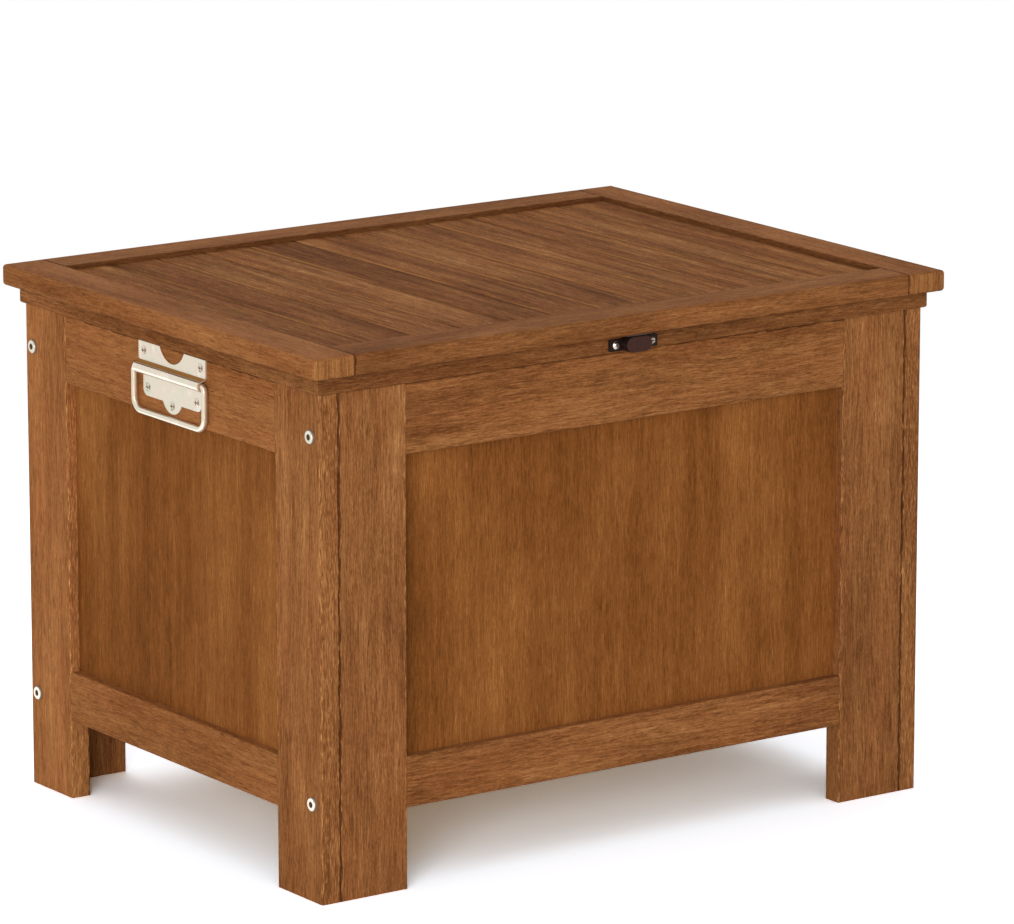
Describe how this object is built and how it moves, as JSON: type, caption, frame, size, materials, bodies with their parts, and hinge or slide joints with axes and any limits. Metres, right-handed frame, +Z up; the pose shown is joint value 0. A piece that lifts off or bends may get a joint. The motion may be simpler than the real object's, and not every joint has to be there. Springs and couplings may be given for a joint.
{
  "type": "ice chest",
  "caption": "Free-standing wooden ice chest: panelled frames round an insulated tub, a slatted lid hinged at the back, side bail handles, a magnetic front catch and a drain.",
  "frame": {"origin": "on the floor, under the middle of the cabinet", "axes": "+X to the right along the front, +Y from front to back, +Z up"},
  "size_m": [0.607, 0.457, 0.432],
  "materials": {
    "hardwood": "oiled",
    "plywood": "stained",
    "softwood": "sawn",
    "foam": "matte",
    "liner_plastic": "satin",
    "plug_rubber": "matte",
    "seal_rubber": "matte",
    "nickelled_steel": "satin",
    "catch_plastic": "satin",
    "magnet": "matte",
    "catch_steel": "satin"
  },
  "bodies": {
    "cabinet": {"back_bottom_rail": "hardwood", "back_left_stile": "hardwood", "back_panel": "plywood", "back_right_stile": "hardwood", "back_top_rail": "hardwood", "barrel_nuts": "nickelled_steel", "catch_housing": "catch_plastic", "catch_magnet": "magnet", "catch_poles": "catch_steel", "catch_screws": "nickelled_steel", "drain_nut": "liner_plastic", "drain_tube": "liner_plastic", "floor_board": "plywood", "floor_cleats": "softwood", "floor_foam": "foam", "frame_bolts": "nickelled_steel", "front_bottom_rail": "hardwood", "front_left_stile": "hardwood", "front_panel": "plywood", "front_right_stile": "hardwood", "front_top_rail": "hardwood", "handle_screws": "nickelled_steel", "hinge_cabinet_leaves": "nickelled_steel", "hinge_pins": "nickelled_steel", "hinge_screws": "nickelled_steel", "left_back_stile": "hardwood", "left_bottom_rail": "hardwood", "left_front_stile": "hardwood", "left_handle_plate": "nickelled_steel", "left_panel": "plywood", "left_top_rail": "hardwood", "liner_tub": "liner_plastic", "right_back_stile": "hardwood", "right_bottom_rail": "hardwood", "right_front_stile": "hardwood", "right_handle_plate": "nickelled_steel", "right_panel": "plywood", "right_top_rail": "hardwood", "rim_back": "hardwood", "rim_front": "hardwood", "rim_left": "hardwood", "rim_right": "hardwood", "wall_foam": "foam"},
    "lid": {"lid_back_rail": "hardwood", "lid_foam": "foam", "lid_front_rail": "hardwood", "lid_left_rail": "hardwood", "lid_panel": "plywood", "lid_right_rail": "hardwood", "lid_screws": "nickelled_steel", "lid_seal": "seal_rubber", "lid_slats": "hardwood", "lid_tray": "liner_plastic", "hinge_lid_leaves": "nickelled_steel", "strike_plate": "catch_steel"},
    "left_bail": {"left_bail": "nickelled_steel"},
    "right_bail": {"right_bail": "nickelled_steel"},
    "drain_plug": {"drain_plug": "plug_rubber"}
  },
  "joints": [
    {"name": "lid_hinge", "type": "hinge", "parent": "cabinet", "child": "lid", "pos_m": [0, 0.221, 0.4135], "axis": [-1, 0, 0], "range_deg": [0, 110]},
    {"name": "left_bail_hinge", "type": "hinge", "parent": "cabinet", "child": "left_bail", "pos_m": [-0.2943, -0.0088, 0.38], "axis": [0, 1, 0], "range_deg": [0, 150]},
    {"name": "right_bail_hinge", "type": "hinge", "parent": "cabinet", "child": "right_bail", "pos_m": [0.2943, -0.0088, 0.38], "axis": [0, -1, 0], "range_deg": [0, 150]},
    {"name": "drain_plug_pull", "type": "slide", "parent": "cabinet", "child": "drain_plug", "axis": [0, 0, 1], "range_m": [0, 0.03]}
  ]
}
